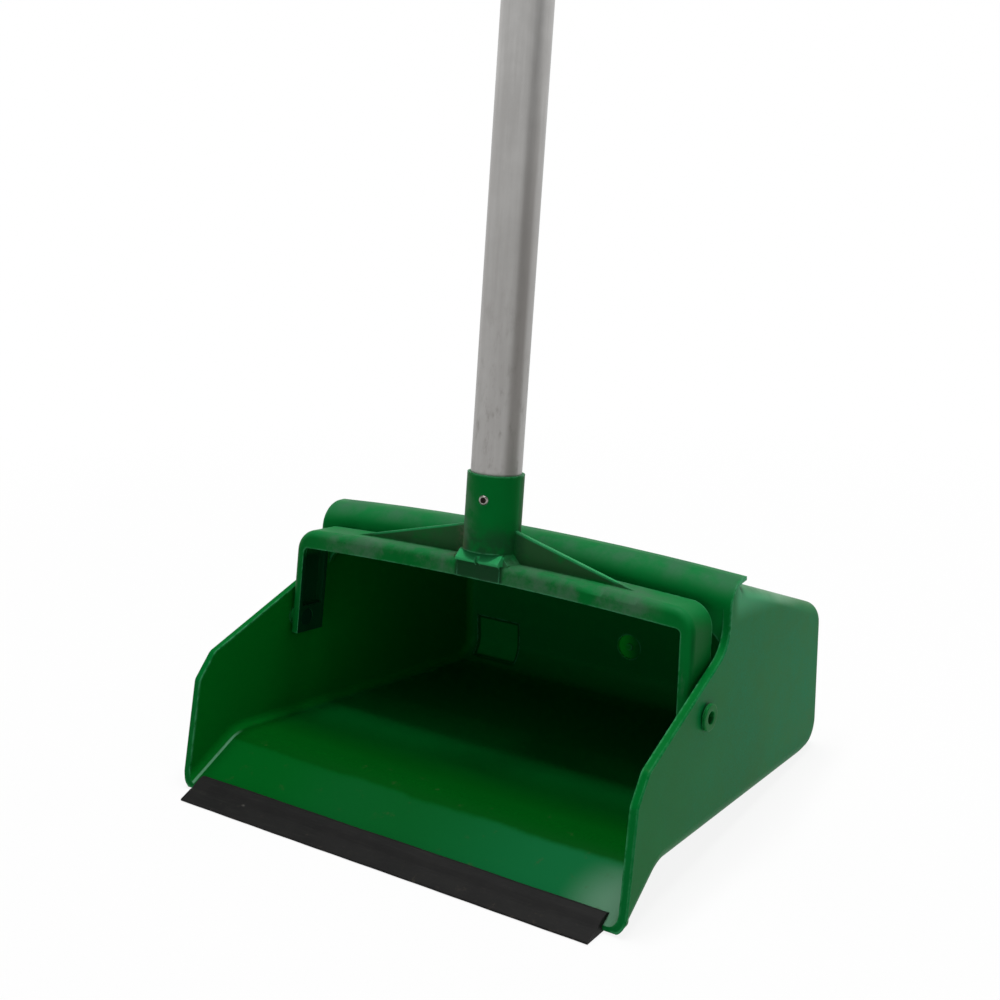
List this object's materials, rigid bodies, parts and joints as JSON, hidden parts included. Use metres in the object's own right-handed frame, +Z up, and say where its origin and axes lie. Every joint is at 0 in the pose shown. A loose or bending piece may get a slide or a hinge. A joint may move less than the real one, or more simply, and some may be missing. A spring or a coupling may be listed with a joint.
{
  "type": "long-handled dustpan",
  "caption": "Long-handled lobby dustpan: moulded pan with sloping roof and curled hood, rubber lip, and a hinged yoke that carries a tube handle with an end grip.",
  "frame": {"origin": "on the ground, half way along the pan and half way across it, with the handle at rest on the hood", "axes": "+X to the right seen from the front, +Y from the rubber lip to the rear wall, +Z up"},
  "size_m": [0.2578, 0.245, 0.8562],
  "materials": {
    "pan_green": "semi-gloss",
    "lip_rubber": "matte",
    "yoke_green": "semi-gloss",
    "pin_green": "satin",
    "tube_aluminium": "satin",
    "rivet_aluminium": "satin",
    "mandrel_steel": "dull",
    "grip_green": "satin"
  },
  "bodies": {
    "pan": {"pan_body": "pan_green", "rubber_lip": "lip_rubber"},
    "handle": {"yoke": "yoke_green", "pivot_pin_left": "pin_green", "pivot_pin_right": "pin_green", "handle_tube": "tube_aluminium", "socket_rivet": "rivet_aluminium", "rivet_mandrel": "mandrel_steel", "hand_grip": "grip_green"}
  },
  "joints": [
    {"name": "handle_swing", "type": "hinge", "parent": "pan", "child": "handle", "pos_m": [0, -0.0305, 0.071], "axis": [1, 0, 0], "range_deg": [0, 95]}
  ]
}
